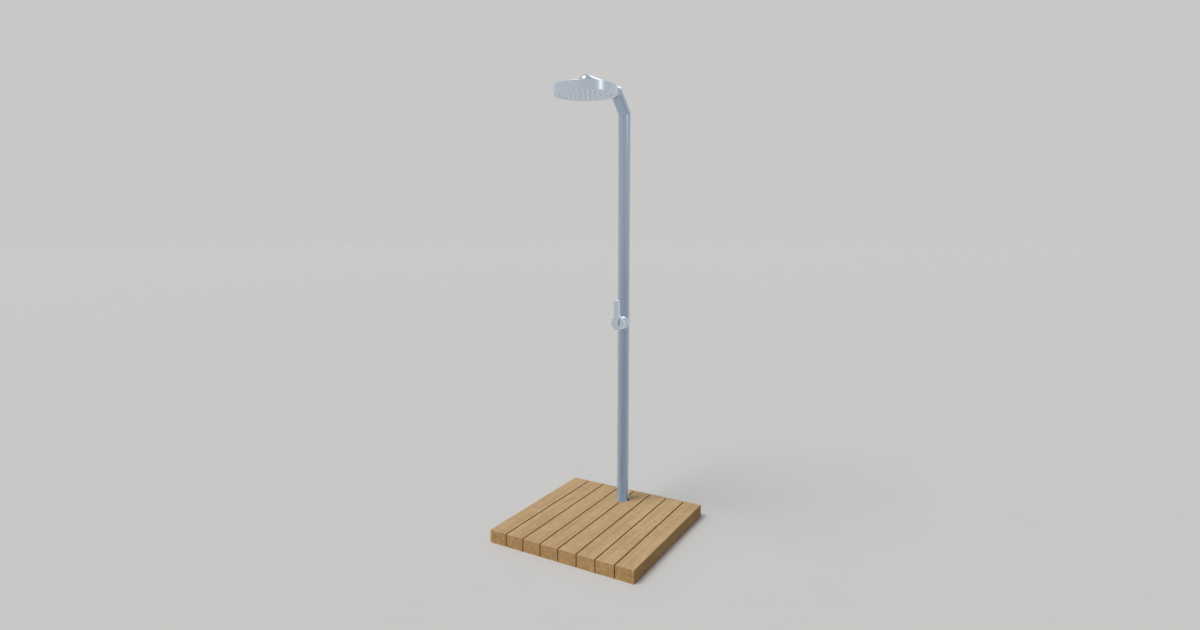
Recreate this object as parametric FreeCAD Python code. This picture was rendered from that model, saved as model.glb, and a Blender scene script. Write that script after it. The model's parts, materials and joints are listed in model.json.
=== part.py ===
import FreeCAD, Part
import math
import os

# Outdoor shower post on a slatted deck, in millimetres.
# The origin is on the ground under the deck's centre. +Z is up, and the bather comes from -Y.

# Deck
board_count = 8
board_width = 95
board_gap = 6
board_length = 800
board_thickness = 66
board_edge_radius = 2.5
batten_width = 45
batten_thickness = 22
batten_inset = 18  # from the deck's front or rear edge to the batten
batten_end_cover = 18  # wood left outside a batten's end
batten_recess = 2  # from the ground to a batten's underside
batten_clearance = 0.3
deck_screw_shank = 5
deck_screw_head = 10
deck_screw_head_depth = 3
deck_screw_length = 45
deck_screw_clearance = 0.1
dowel_diameter = 8
dowel_length = 50
dowel_clearance = 0.1
dowel_end_gap = 1

# Foot under the deck
plate_size = 160
plate_thickness = 10
anchor_spacing = 116
anchor_hole_diameter = 13
anchor_nut_room = 15  # from an anchor's axis to the side of its channel in the boards
anchor_nut_height = 22
deck_notch_clearance = 0.8  # round the post
deck_pocket_clearance = 2  # round the plate's edges, under the boards
plate_seat_clearance = 0.3  # from the plate up to the boards that bear on it

# Post, knee and arm, of one tube
tube_diameter = 63.5
tube_wall = 2
post_setback = 148  # from the deck's rear edge to the post's axis
bend_height = 2136  # from the ground to the lower corner of the knee
knee_rise = 90
knee_angle = 45
arm_reach = 382  # from the post's axis to the middle of the arm's domed end

# Pipes inside the post
pipe_diameter = 16
pipe_wall = 2
pipe_bend_radius = 125
pipe_socket_depth = 10
pipe_clearance = 0.1
pipe_nut_across_flats = 27
pipe_nut_height = 12

# Water inlet
port_radius = 9.3  # crests of a half-inch pipe thread
port_depth = 14
inlet_barrel_radius = 13
inlet_barrel_recess = 0.5
inlet_thread_gap = 0.1
inlet_flange_across_flats = 36
inlet_flange_height = 8
inlet_stem_radius = 12
inlet_stem_height = 16
water_way_radius = 6

# Flat washers, one at the valve's seat and one in the head's inlet
washer_radius = 9.3
washer_height = 2.5

# Valve, whose axis points forwards from the post's axis
valve_height = 1060
housing_diameter = 75
housing_length = 51
housing_weld_gap = 0.1
housing_rear_bore_radius = 30.5
housing_front_bore_radius = 33
housing_shoulder = 34
body_barrel_radius = 15
body_barrel_height = 52
body_boss_radius = 20
body_flange_height = 6
body_flange_clearance = 0.2
body_outlet_rise = 12.5
body_outlet_radius = 4
body_inlet_radius = 5
post_slot_width = 42
post_slot_height = 56
post_slot_corner = 12
circlip_thickness = 1.5
circlip_width = 3.5
circlip_groove_depth = 1.8
circlip_clearance = 0.1
circlip_opening = 50  # degrees
set_screw_diameter = 5
set_screw_clearance = 0.1
housing_screw_length = 5
housing_screw_bite = 2

# Quarter-turn cartridge, measured forwards from its seat in the body
seat_position = 8
cartridge_bore_radius = 13.3
cartridge_thread_gap = 0.1
sleeve_radius = 12
sleeve_bore_radius = 9.6
sleeve_start = 0.5
sleeve_length = 19.5
window_width = 12
window_height = 5
cartridge_hex_across_flats = 30
cartridge_hex_height = 7
nose_radius = 9
nose_length = 4
disc_thickness = 3.5
disc_clearance = 0.1
disc_water_film = 0.05
disc_port_inner_radius = 2
disc_port_outer_radius = 6.6
disc_port_angle = 76
dog_width = 3
dog_depth = 2.4
dog_clearance = 0.1
carrier_height = 3
carrier_gap = 2.4
carrier_radius = 9.4
thrust_washer_height = 1
spindle_radius = 5
spindle_clearance = 0.1
spindle_seal_positions = (22, 27)
spindle_seal_width = 2
spindle_groove_width = 2.4
spindle_groove_radius = 3.6
spindle_seal_gap = 0.05
spindle_square = 8
spindle_square_length = 12

# Handle
cap_gap = 1  # between housing and handle cap
cap_thickness = 18
cap_edge_chamfer = 1.5
cap_recess_depth = 9
cap_rim_wall = 3.5
cap_boss_radius = 11
cap_square_clearance = 0.05
cap_screw_length = 6
cap_screw_position = 5  # from the cap's rear face to the screw's axis
cap_key_hole_radius = 3
lever_width = 28
lever_thickness = 16
lever_rise = 123  # from the valve's axis to the lever's tip
lever_tip_radius = 6
lever_edge_chamfer = 1.2
lever_screw_diameter = 5
lever_screw_head_radius = 4.25
lever_screw_head_height = 3
lever_screw_length = 19
lever_screw_spread = 14
lever_screw_rise = 22
lever_screw_clearance = 0.1

# Shower head
head_reach = 390  # from the post's axis to the head's axis
head_diameter = 297
head_thickness = 41
head_sink = 10.5  # how far the head's top stands above the bottom of the arm's round
head_wall = 1.5
head_top_edge_chamfer = 2
head_seam = 1  # round the face plate, and its depth in the rim
face_plate_thickness = 2
mat_thickness = 2
backing_thickness = 5
backing_clearance = 0.2
backing_recess_depth = 2.5
nozzle_rings = 5
nozzles_in_first_ring = 6
nozzle_pitch = 24
nozzle_base_radius = 3.2
nozzle_tip_radius = 2
nozzle_drop = 2  # tip below the face plate
nozzle_clearance = 0.3
head_screw_count = 6
head_screw_circle_radius = 137
head_screw_radius = 1.5
head_screw_head_radius = 3
head_screw_length = 18
head_screw_clearance = 0.1
pillar_radius = 4

# Neck. The arm is cut away over the head, and a seat welded into the cut closes it.
neck_gap = 1  # from the head's top up to the arm
rim_gap = 1  # from the head's rim back to the arm
seat_thickness = 3
seat_lip = 2
seat_weld_gap = 0.1
nipple_radius = 10.2
nipple_wall = 3
nipple_bite = 12  # into the head
nipple_elbow_bite = 9
nipple_clearance = 0.1
neck_hole_clearance = 0.4
neck_ring_radius = 14
neck_ring_gap = 0.05
elbow_radius = 13
elbow_seat_gap = 0.3
elbow_reach = 30
inlet_hub_radius = 18

# Flats on small rounds that are repeated
screw_sides = 8
nozzle_sides = 8

# Worked-out sizes
deck_width = board_count * board_width + (board_count - 1) * board_gap
board_pitch = board_width + board_gap
tube_radius = tube_diameter / 2
tube_bore_radius = tube_radius - tube_wall
post_y = board_length / 2 - post_setback
knee_run = knee_rise / math.tan(math.radians(knee_angle))
arm_height = bend_height + knee_rise
arm_end_y = post_y - arm_reach
head_y = post_y - head_reach
head_radius = head_diameter / 2
head_top = arm_height - tube_radius + head_sink
head_bottom = head_top - head_thickness
head_ceiling = head_top - head_wall
face_plate_bottom = head_bottom + head_seam
mat_bottom = face_plate_bottom + face_plate_thickness
backing_bottom = mat_bottom + mat_thickness
backing_top = backing_bottom + backing_thickness
pipe_radius = pipe_diameter / 2
inlet_stem_top = plate_thickness + inlet_flange_height + inlet_stem_height
housing_radius = housing_diameter / 2
cap_rear = housing_length + cap_gap
cap_front = cap_rear + cap_thickness
cope_height = head_top + neck_gap
elbow_bottom = cope_height + seat_thickness + elbow_seat_gap
up = FreeCAD.Vector(0, 0, 1)


def box(x_range, y_range, z_range):
    low, high = [FreeCAD.Vector(*ends) for ends in zip(x_range, y_range, z_range)]
    size = high - low
    return Part.makeBox(size.x, size.y, size.z, low)


def rod(radius, low, high):
    return Part.makeCylinder(radius, high - low, FreeCAD.Vector(0, 0, low))


def ring(inner_radius, outer_radius, low, high):
    return rod(outer_radius, low, high).cut(rod(inner_radius, low, high))


def polygon_wire(sides, radius, height):
    turns = [2 * math.pi * (side + 0.5) / sides for side in range(sides)]
    corners = [FreeCAD.Vector(radius * math.cos(turn), radius * math.sin(turn), height) for turn in turns]
    return Part.makePolygon(corners + corners[:1])


def flat_sided(sides, low_radius, high_radius, low, high):
    ends = [polygon_wire(sides, low_radius, low), polygon_wire(sides, high_radius, high)]
    return Part.makeLoft(ends, True, True)


def hexagon(across_flats, low, high):
    corner_radius = across_flats / 2 / math.cos(math.pi / 6)
    return flat_sided(6, corner_radius, corner_radius, low, high)


def moved(shape, x, y, z):
    copy = shape.copy()
    copy.translate(FreeCAD.Vector(x, y, z))
    return copy


def turned_about_z(shape, degrees):
    copy = shape.copy()
    copy.rotate(FreeCAD.Vector(0, 0, 0), up, degrees)
    return copy


def on_post_axis(shape, height):
    return moved(shape, 0, post_y, height)


def on_valve_axis(shape):
    # The valve's pieces are made with +Z forwards from the post's axis and +Y up.
    copy = shape.copy()
    copy.rotate(FreeCAD.Vector(0, 0, 0), FreeCAD.Vector(1, 0, 0), 90)
    return on_post_axis(copy, valve_height)


def on_head_axis(shape):
    return moved(shape, 0, head_y, 0)


def circle_places(count, radius):
    turns = [2 * math.pi * number / count for number in range(count)]
    return [(radius * math.cos(turn), radius * math.sin(turn)) for turn in turns]


def one_solid(shape):
    return shape.removeSplitter().Solids[0]


# Deck

def board_middle(number):
    return (number - (board_count + 1) / 2) * board_pitch


def batten_middles():
    reach = board_length / 2 - batten_inset - batten_width / 2
    return {"front": -reach, "rear": reach}


def deck_screw(clearance):
    # Eight flats, because the screw is repeated and hidden.
    head = deck_screw_head / 2 + clearance
    shank = deck_screw_shank / 2 + clearance
    cone = flat_sided(screw_sides, head, shank, 0, deck_screw_head_depth)
    stem = flat_sided(screw_sides, shank, shank, 0, deck_screw_length + clearance)
    return moved(cone.fuse(stem), 0, 0, batten_recess)


def deck_screw_places():
    return [
        (board_middle(number), batten_y)
        for number in range(1, board_count + 1)
        for batten_y in batten_middles().values()
    ]


def foot_pockets():
    # Room for the post, the plate and the anchors' nuts. The deck's two halves slide on from the
    # sides, so the nuts' channels run in from the middle seam.
    plate_room = plate_size / 2 + deck_pocket_clearance
    pockets = box(
        (-plate_room, plate_room),
        (post_y - plate_room, post_y + plate_room),
        (0, plate_thickness + plate_seat_clearance),
    )
    post_room = rod(tube_radius + deck_notch_clearance, 0, board_thickness)
    pockets = pockets.fuse(on_post_axis(post_room, 0))
    channel_end = anchor_spacing / 2 + anchor_nut_room
    for side in (-1, 1):
        channel_y = post_y + side * anchor_spacing / 2
        pockets = pockets.fuse(box(
            (-channel_end, channel_end),
            (channel_y - anchor_nut_room, channel_y + anchor_nut_room),
            (0, plate_thickness + anchor_nut_height),
        ))
    return pockets


def batten_room():
    reach = deck_width / 2 - batten_end_cover + batten_clearance
    half_width = batten_width / 2 + batten_clearance
    top = batten_recess + batten_thickness
    rooms = [
        box((-reach, reach), (middle - half_width, middle + half_width), (0, top))
        for middle in batten_middles().values()
    ]
    return rooms[0].fuse(rooms[1])


def make_board(number, hollows):
    middle = board_middle(number)
    half_length = board_length / 2
    board = box(
        (middle - board_width / 2, middle + board_width / 2),
        (-half_length, half_length),
        (0, board_thickness),
    )
    top_edges = [edge for edge in board.Edges if edge.BoundBox.ZMin > board_thickness / 2]
    board = board.makeFillet(board_edge_radius, top_edges)
    for hollow in hollows:
        board = board.cut(hollow)
    return one_solid(board)


def make_batten(side, middle, screws, dowel_room):
    outer = deck_width / 2 - batten_end_cover
    half_width = batten_width / 2
    batten = box(
        sorted((0, side * outer)),
        (middle - half_width, middle + half_width),
        (batten_recess, batten_recess + batten_thickness),
    )
    return one_solid(batten.cut(screws).cut(dowel_room))


def dowels(radius_clearance, end_clearance):
    half_length = dowel_length / 2 + end_clearance
    height = batten_recess + batten_thickness / 2
    dowel = Part.makeCylinder(
        dowel_diameter / 2 + radius_clearance,
        2 * half_length,
        FreeCAD.Vector(-half_length, 0, height),
        FreeCAD.Vector(1, 0, 0),
    )
    return Part.makeCompound([moved(dowel, 0, middle, 0) for middle in batten_middles().values()])


def make_deck():
    screw_room = deck_screw(deck_screw_clearance)
    screw_rooms = Part.makeCompound([moved(screw_room, x, y, 0) for x, y in deck_screw_places()])
    screw = deck_screw(0)
    pieces = {
        "batten_screws": Part.makeCompound([moved(screw, x, y, 0) for x, y in deck_screw_places()]),
        "batten_dowels": dowels(0, 0),
    }
    hollows = [batten_room(), foot_pockets(), screw_rooms]
    for number in range(1, board_count + 1):
        pieces[f"board_{number}"] = make_board(number, hollows)
    dowel_room = dowels(dowel_clearance, dowel_end_gap)
    for side_name, side in (("left", -1), ("right", 1)):
        for end_name, middle in batten_middles().items():
            pieces[f"{side_name}_{end_name}_batten"] = make_batten(side, middle, screw_rooms, dowel_room)
    return pieces


# Foot and water inlet

def make_base_plate():
    half = plate_size / 2
    plate = box((-half, half), (-half, half), (0, plate_thickness))
    for x_side in (-1, 1):
        for y_side in (-1, 1):
            hole = rod(anchor_hole_diameter / 2, 0, plate_thickness)
            plate = plate.cut(moved(hole, x_side * anchor_spacing / 2, y_side * anchor_spacing / 2, 0))
    return on_post_axis(plate.cut(rod(inlet_barrel_radius, 0, plate_thickness)), 0)


def make_inlet_fitting():
    flange_top = plate_thickness + inlet_flange_height
    barrel = rod(inlet_barrel_radius - inlet_thread_gap, inlet_barrel_recess, plate_thickness)
    flange = hexagon(inlet_flange_across_flats, plate_thickness, flange_top)
    stem = rod(inlet_stem_radius, flange_top, inlet_stem_top)
    fitting = barrel.fuse(flange).fuse(stem)
    fitting = fitting.cut(rod(port_radius, 0, inlet_barrel_recess + port_depth))
    fitting = fitting.cut(rod(water_way_radius, 0, inlet_stem_top))
    socket = rod(pipe_radius + pipe_clearance, inlet_stem_top - pipe_socket_depth, inlet_stem_top)
    return on_post_axis(one_solid(fitting.cut(socket)), 0)


# Pipes

def make_supply_pipe():
    low = inlet_stem_top - pipe_socket_depth
    high = valve_height - body_barrel_height / 2 + pipe_socket_depth
    return on_post_axis(ring(pipe_radius - pipe_wall, pipe_radius, low, high), 0)


def pipe_nut():
    hole = rod(pipe_radius + pipe_clearance, 0, pipe_nut_height)
    return hexagon(pipe_nut_across_flats, 0, pipe_nut_height).cut(hole)


def make_pipe_nuts():
    nut = pipe_nut()
    level_nut = nut.copy()
    level_nut.rotate(FreeCAD.Vector(0, 0, 0), FreeCAD.Vector(1, 0, 0), -90)
    valve_bottom = valve_height - body_barrel_height / 2
    valve_top = valve_height + body_barrel_height / 2
    return Part.makeCompound([
        on_post_axis(nut, inlet_stem_top),
        on_post_axis(nut, valve_bottom - pipe_nut_height),
        on_post_axis(nut, valve_top),
        moved(level_nut, 0, head_y + elbow_reach, arm_height),
    ])


def riser_path():
    start = FreeCAD.Vector(0, post_y, valve_height + body_barrel_height / 2 - pipe_socket_depth)
    low_corner = FreeCAD.Vector(0, post_y, bend_height)
    high_corner = FreeCAD.Vector(0, post_y - knee_run, arm_height)
    end = FreeCAD.Vector(0, head_y + elbow_reach - pipe_socket_depth, arm_height)
    points = [start, low_corner, high_corner, end]
    edges = []
    here = start
    for before, corner, after in zip(points, points[1:], points[2:]):
        way_in = (corner - before).normalize()
        way_out = (after - corner).normalize()
        half_turn = way_in.getAngle(way_out) / 2
        tangent = pipe_bend_radius * math.tan(half_turn)
        arc_start = corner - way_in * tangent
        arc_end = corner + way_out * tangent
        towards_centre = (way_out - way_in).normalize()
        sag = pipe_bend_radius / math.cos(half_turn) - pipe_bend_radius
        edges.append(Part.LineSegment(here, arc_start).toShape())
        edges.append(Part.Arc(arc_start, corner + towards_centre * sag, arc_end).toShape())
        here = arc_end
    edges.append(Part.LineSegment(here, end).toShape())
    return Part.Wire(edges)


def make_riser_pipe():
    path = riser_path()
    start = path.Edges[0].Vertexes[0].Point
    tubes = []
    for radius in (pipe_radius, pipe_radius - pipe_wall):
        circle = Part.Wire([Part.makeCircle(radius, start, up)])
        tubes.append(path.makePipeShell([circle], True, False))
    pipe = tubes[0].cut(tubes[1])
    section = math.pi * (pipe_radius**2 - (pipe_radius - pipe_wall) ** 2)
    print("riser pipe volume over section times length", round(pipe.Volume / section / path.Length, 4))
    return pipe


# Post

def tube_along(start, way, length, radius):
    return Part.makeCylinder(radius, length, start, way)


def beyond(corner, way):
    # A block that fills everything past a mitre plane through the corner.
    size = 8 * tube_diameter
    block = Part.makeBox(size, size, size, FreeCAD.Vector(-size / 2, -size / 2, 0))
    block.Placement = FreeCAD.Placement(corner, FreeCAD.Rotation(up, way))
    return block


def arm_core(radius):
    # The arm's round with its domed end, run on past the knee's upper corner.
    way = FreeCAD.Vector(0, -1, 0)
    start = FreeCAD.Vector(0, post_y - knee_run + tube_diameter, arm_height)
    dome = Part.makeSphere(radius, FreeCAD.Vector(0, arm_end_y, arm_height), way, 0, 90, 360)
    return tube_along(start, way, start.y - arm_end_y, radius).fuse(dome)


def make_post_pieces():
    low_corner = FreeCAD.Vector(0, post_y, bend_height)
    high_corner = FreeCAD.Vector(0, post_y - knee_run, arm_height)
    knee_way = (high_corner - low_corner).normalize()
    low_mitre = (up + knee_way).normalize()
    high_mitre = (knee_way + FreeCAD.Vector(0, -1, 0)).normalize()
    spare = tube_diameter
    foot = FreeCAD.Vector(0, post_y, plate_thickness)
    pieces = {"post_tube": [], "knee_tube": [], "arm_tube": []}
    for radius in (tube_radius, tube_bore_radius):
        post = tube_along(foot, up, bend_height - plate_thickness + spare, radius)
        pieces["post_tube"].append(post.cut(beyond(low_corner, low_mitre)))
        knee_length = (high_corner - low_corner).Length
        knee = tube_along(low_corner - knee_way * spare, knee_way, knee_length + 2 * spare, radius)
        knee = knee.cut(beyond(low_corner, low_mitre * -1))
        pieces["knee_tube"].append(knee.cut(beyond(high_corner, high_mitre)))
        pieces["arm_tube"].append(arm_core(radius).cut(beyond(high_corner, high_mitre * -1)))
    tubes = {name: one_solid(outside.cut(inside)) for name, (outside, inside) in pieces.items()}
    tubes["post_tube"] = one_solid(tubes["post_tube"].cut(post_slot()))
    head_room = rod(head_radius + rim_gap, head_bottom, cope_height)
    tubes["arm_tube"] = one_solid(tubes["arm_tube"].cut(on_head_axis(head_room)))
    return tubes


def post_slot():
    # The valve body goes in through this opening, which the housing covers.
    half_width = post_slot_width / 2
    half_height = post_slot_height / 2
    slot = box((-half_width, half_width), (-half_height, half_height), (0, housing_length))
    along = [edge for edge in slot.Edges if abs(edge.tangentAt(0).z) > 0.5]
    return on_valve_axis(slot.makeFillet(post_slot_corner, along))


# Neck

def level_rod(radius, start, end):
    # Along +Y, on the arm's axis.
    return Part.makeCylinder(
        radius, end - start, FreeCAD.Vector(0, start, arm_height), FreeCAD.Vector(0, 1, 0)
    )


def make_arm_seat():
    # A level floor over the head with a lip down behind the head's rim, trimmed to the arm's bore.
    lip_radius = head_radius + rim_gap
    top = cope_height + seat_thickness
    floor = rod(lip_radius + seat_lip, cope_height, top)
    lip = ring(lip_radius, lip_radius + seat_lip, arm_height - tube_radius, top)
    neck_hole = rod(nipple_radius + neck_hole_clearance, cope_height, top)
    seat = on_head_axis(floor.fuse(lip).cut(neck_hole))
    return one_solid(seat.common(arm_core(tube_bore_radius - seat_weld_gap)))


def make_arm_elbow():
    elbow = rod(elbow_radius, elbow_bottom, arm_height + elbow_radius)
    elbow = elbow.fuse(level_rod(elbow_radius, 0, elbow_reach))
    elbow = elbow.cut(level_rod(water_way_radius, 0, elbow_reach))
    elbow = elbow.cut(level_rod(pipe_radius + pipe_clearance, elbow_reach - pipe_socket_depth, elbow_reach))
    nipple_room = rod(nipple_radius + nipple_clearance, elbow_bottom, elbow_bottom + nipple_elbow_bite)
    elbow = elbow.cut(nipple_room)
    elbow = elbow.cut(rod(water_way_radius, elbow_bottom, arm_height))
    return on_head_axis(one_solid(elbow))


def make_neck_ring():
    top = cope_height - neck_ring_gap
    return on_head_axis(ring(nipple_radius + nipple_clearance, neck_ring_radius, head_top, top))


def make_neck_nipple():
    low = head_ceiling - nipple_bite
    high = elbow_bottom + nipple_elbow_bite
    return on_head_axis(ring(nipple_radius - nipple_wall, nipple_radius, low, high))


# Shower head

def head_screw_places():
    return circle_places(head_screw_count, head_screw_circle_radius)


def nozzle_places():
    places = [(0, 0)]
    for number in range(1, nozzle_rings + 1):
        places += circle_places(nozzles_in_first_ring * number, nozzle_pitch * number)
    return places


def head_screw(clearance):
    shank = head_screw_radius + clearance
    head = head_screw_head_radius + clearance
    cone_height = head_screw_head_radius - head_screw_radius
    cone = flat_sided(screw_sides, head, shank, face_plate_bottom, face_plate_bottom + cone_height)
    top = face_plate_bottom + head_screw_length + clearance
    return cone.fuse(flat_sided(screw_sides, shank, shank, face_plate_bottom, top))


def head_screws(clearance):
    screw = head_screw(clearance)
    return Part.makeCompound([moved(screw, x, y, 0) for x, y in head_screw_places()])


def make_head_shell():
    outside = rod(head_radius, head_bottom, head_top)
    top_edge = [edge for edge in outside.Edges if edge.BoundBox.ZMin > head_ceiling]
    outside = outside.makeChamfer(head_top_edge_chamfer, top_edge)
    shell = outside.cut(rod(head_radius - head_wall, head_bottom, head_ceiling))
    for x, y in head_screw_places():
        shell = shell.fuse(moved(rod(pillar_radius, backing_top, head_ceiling), x, y, 0))
    screw_holes = head_screws(head_screw_clearance)
    neck_hole = rod(nipple_radius + neck_hole_clearance, head_ceiling, head_top)
    return on_head_axis(one_solid(shell.cut(screw_holes).cut(neck_hole)))


def make_head_inlet():
    hub = rod(inlet_hub_radius, backing_top, head_ceiling)
    thread_bottom = head_ceiling - nipple_bite - washer_height
    thread = rod(nipple_radius + nipple_clearance, thread_bottom, head_ceiling)
    way = rod(water_way_radius, backing_top, head_ceiling)
    return on_head_axis(one_solid(hub.cut(thread).cut(way)))


def make_backing_plate():
    plate = rod(head_radius - head_wall - backing_clearance, backing_bottom, backing_top)
    recess_radius = head_screw_circle_radius - 2 * head_screw_head_radius
    plate = plate.cut(rod(recess_radius, backing_bottom, backing_bottom + backing_recess_depth))
    plate = plate.cut(rod(water_way_radius, backing_bottom, backing_top))
    return on_head_axis(one_solid(plate.cut(head_screws(head_screw_clearance))))


def make_face_plate():
    plate = rod(head_radius - head_wall - head_seam, face_plate_bottom, mat_bottom)
    hole_radius = nozzle_base_radius + nozzle_clearance
    hole = flat_sided(nozzle_sides, hole_radius, hole_radius, face_plate_bottom, mat_bottom)
    holes = [moved(hole, x, y, 0) for x, y in nozzle_places()]
    plate = plate.cut(Part.makeCompound(holes)).cut(head_screws(head_screw_clearance))
    return on_head_axis(one_solid(plate))


def make_nozzle_mat():
    mat = rod(head_radius - head_wall - head_seam, mat_bottom, backing_bottom)
    tip = face_plate_bottom - nozzle_drop
    nozzle = flat_sided(nozzle_sides, nozzle_tip_radius, nozzle_base_radius, tip, mat_bottom)
    mat = mat.fuse([moved(nozzle, x, y, 0) for x, y in nozzle_places()])
    return on_head_axis(one_solid(mat.cut(head_screws(head_screw_clearance))))


# Valve: housing and body

def make_valve_housing():
    housing = rod(housing_radius, 0, housing_length)
    front_edge = [edge for edge in housing.Edges if edge.BoundBox.ZMin > housing_length - cap_gap]
    housing = housing.makeChamfer(cap_gap / 2, front_edge)
    housing = housing.cut(rod(housing_rear_bore_radius, 0, housing_shoulder))
    housing = housing.cut(rod(housing_front_bore_radius, housing_shoulder, housing_length))
    groove_bottom = housing_shoulder + body_flange_height
    groove_radius = housing_front_bore_radius + circlip_groove_depth
    groove_top = groove_bottom + circlip_thickness + circlip_clearance
    housing = housing.cut(rod(groove_radius, groove_bottom, groove_top))
    housing = housing.cut(housing_screw(set_screw_clearance, housing_radius))
    post_room = rod(tube_radius + housing_weld_gap, -housing_diameter, housing_diameter)
    return one_solid(on_valve_axis(housing).cut(on_post_axis(post_room, valve_height)))


def screw_from_below(radius, low, high, forward):
    # A radial pin on the valve, with its ends at these distances under the valve's axis.
    return Part.makeCylinder(radius, high - low, FreeCAD.Vector(0, -high, forward), FreeCAD.Vector(0, 1, 0))


def housing_screw(clearance, outer_end):
    tip = housing_front_bore_radius - housing_screw_bite
    position = housing_shoulder + body_flange_height / 2
    return screw_from_below(set_screw_diameter / 2 + clearance, tip - clearance, outer_end, position)


def make_housing_screw():
    outer_end = housing_front_bore_radius - housing_screw_bite + housing_screw_length
    return on_valve_axis(housing_screw(0, outer_end))


def upright(radius, low, high):
    return Part.makeCylinder(radius, high - low, FreeCAD.Vector(0, low, 0), FreeCAD.Vector(0, 1, 0))


def make_valve_body():
    half_height = body_barrel_height / 2
    flange_top = housing_shoulder + body_flange_height
    body = upright(body_barrel_radius, -half_height, half_height)
    body = body.fuse(rod(body_boss_radius, 0, housing_shoulder))
    flange_radius = housing_front_bore_radius - body_flange_clearance
    body = body.fuse(rod(flange_radius, housing_shoulder, flange_top))
    body = body.cut(rod(cartridge_bore_radius, seat_position, flange_top))
    body = body.cut(rod(body_inlet_radius, 0, seat_position))
    body = body.cut(upright(water_way_radius, -half_height, 0))
    body = body.cut(upright(water_way_radius, body_outlet_rise - body_outlet_radius, half_height))
    outlet = moved(rod(body_outlet_radius, 0, seat_position + sleeve_length), 0, body_outlet_rise, 0)
    body = body.cut(outlet)
    socket_radius = pipe_radius + pipe_clearance
    body = body.cut(upright(socket_radius, -half_height, pipe_socket_depth - half_height))
    body = body.cut(upright(socket_radius, half_height - pipe_socket_depth, half_height))
    body = body.cut(housing_screw(set_screw_clearance, housing_front_bore_radius))
    return on_valve_axis(one_solid(body))


def make_body_circlip():
    low = housing_shoulder + body_flange_height
    outer = housing_front_bore_radius + circlip_groove_depth - circlip_clearance
    clip = ring(outer - circlip_width, outer, low, low + circlip_thickness)
    opening = Part.makeCylinder(
        housing_radius, circlip_thickness, FreeCAD.Vector(0, 0, low), up, circlip_opening
    )
    return on_valve_axis(one_solid(clip.cut(turned_about_z(opening, 90 - circlip_opening / 2))))


# Valve: quarter-turn cartridge, measured from its seat

def on_seat(shape):
    return on_valve_axis(moved(shape, 0, 0, seat_position))


def cartridge_levels():
    fixed_disc = washer_height
    moving_disc = fixed_disc + disc_thickness + disc_water_film
    carrier = moving_disc + disc_thickness + carrier_gap
    thrust_washer = carrier + carrier_height + disc_water_film
    shoulder = thrust_washer + thrust_washer_height
    return {
        "fixed_disc": fixed_disc,
        "moving_disc": moving_disc,
        "carrier": carrier,
        "thrust_washer": thrust_washer,
        "shoulder": shoulder,
        "hex": housing_shoulder + body_flange_height - seat_position,
    }


def disc_ports(turn):
    wedges = []
    for side in (0, 180):
        outer = Part.makeCylinder(
            disc_port_outer_radius, disc_thickness, FreeCAD.Vector(0, 0, 0), up, disc_port_angle
        )
        wedge = outer.cut(rod(disc_port_inner_radius, 0, disc_thickness))
        wedges.append(turned_about_z(wedge, turn + side - disc_port_angle / 2))
    return Part.makeCompound(wedges)


def drive_dogs(clearance, low, high):
    half_width = dog_width / 2 + clearance
    inner = carrier_radius - dog_depth - clearance
    outside = rod(carrier_radius + clearance, low, high)
    bars = [
        box(sorted((side * inner, side * sleeve_bore_radius)), (-half_width, half_width), (low, high))
        for side in (-1, 1)
    ]
    return bars[0].fuse(bars[1]).common(outside)


def make_flat_washers():
    washer = ring(water_way_radius, washer_radius, 0, washer_height)
    return Part.makeCompound([
        on_seat(washer),
        on_head_axis(moved(washer, 0, 0, head_ceiling - nipple_bite - washer_height)),
    ])


def make_fixed_disc():
    disc = rod(sleeve_bore_radius - disc_clearance, 0, disc_thickness).cut(disc_ports(0))
    return on_seat(moved(one_solid(disc), 0, 0, cartridge_levels()["fixed_disc"]))


def make_moving_disc():
    disc = rod(sleeve_bore_radius - disc_clearance, 0, disc_thickness).cut(disc_ports(90))
    notches = drive_dogs(dog_clearance + disc_clearance, 0, disc_thickness)
    return on_seat(moved(one_solid(disc.cut(notches)), 0, 0, cartridge_levels()["moving_disc"]))


def make_thrust_washer():
    low = cartridge_levels()["thrust_washer"]
    bore = spindle_radius + spindle_clearance
    return on_seat(ring(bore, sleeve_bore_radius - disc_clearance, low, low + thrust_washer_height))


def make_cartridge_body():
    levels = cartridge_levels()
    hex_top = levels["hex"] + cartridge_hex_height
    nose_top = hex_top + nose_length
    thread_radius = cartridge_bore_radius - cartridge_thread_gap
    body = rod(sleeve_radius, sleeve_start, sleeve_length)
    body = body.fuse(rod(thread_radius, sleeve_length, levels["hex"]))
    body = body.fuse(hexagon(cartridge_hex_across_flats, levels["hex"], hex_top))
    body = body.fuse(rod(nose_radius, hex_top, nose_top))
    body = body.cut(rod(sleeve_bore_radius, sleeve_start, levels["shoulder"]))
    body = body.cut(rod(spindle_radius + spindle_clearance, sleeve_start, nose_top))
    window_middle = levels["carrier"] + carrier_height / 2
    window = box(
        (-window_width / 2, window_width / 2),
        (-sleeve_radius, sleeve_radius),
        (window_middle - window_height / 2, window_middle + window_height / 2),
    )
    return on_seat(one_solid(body.cut(window)))


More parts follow.
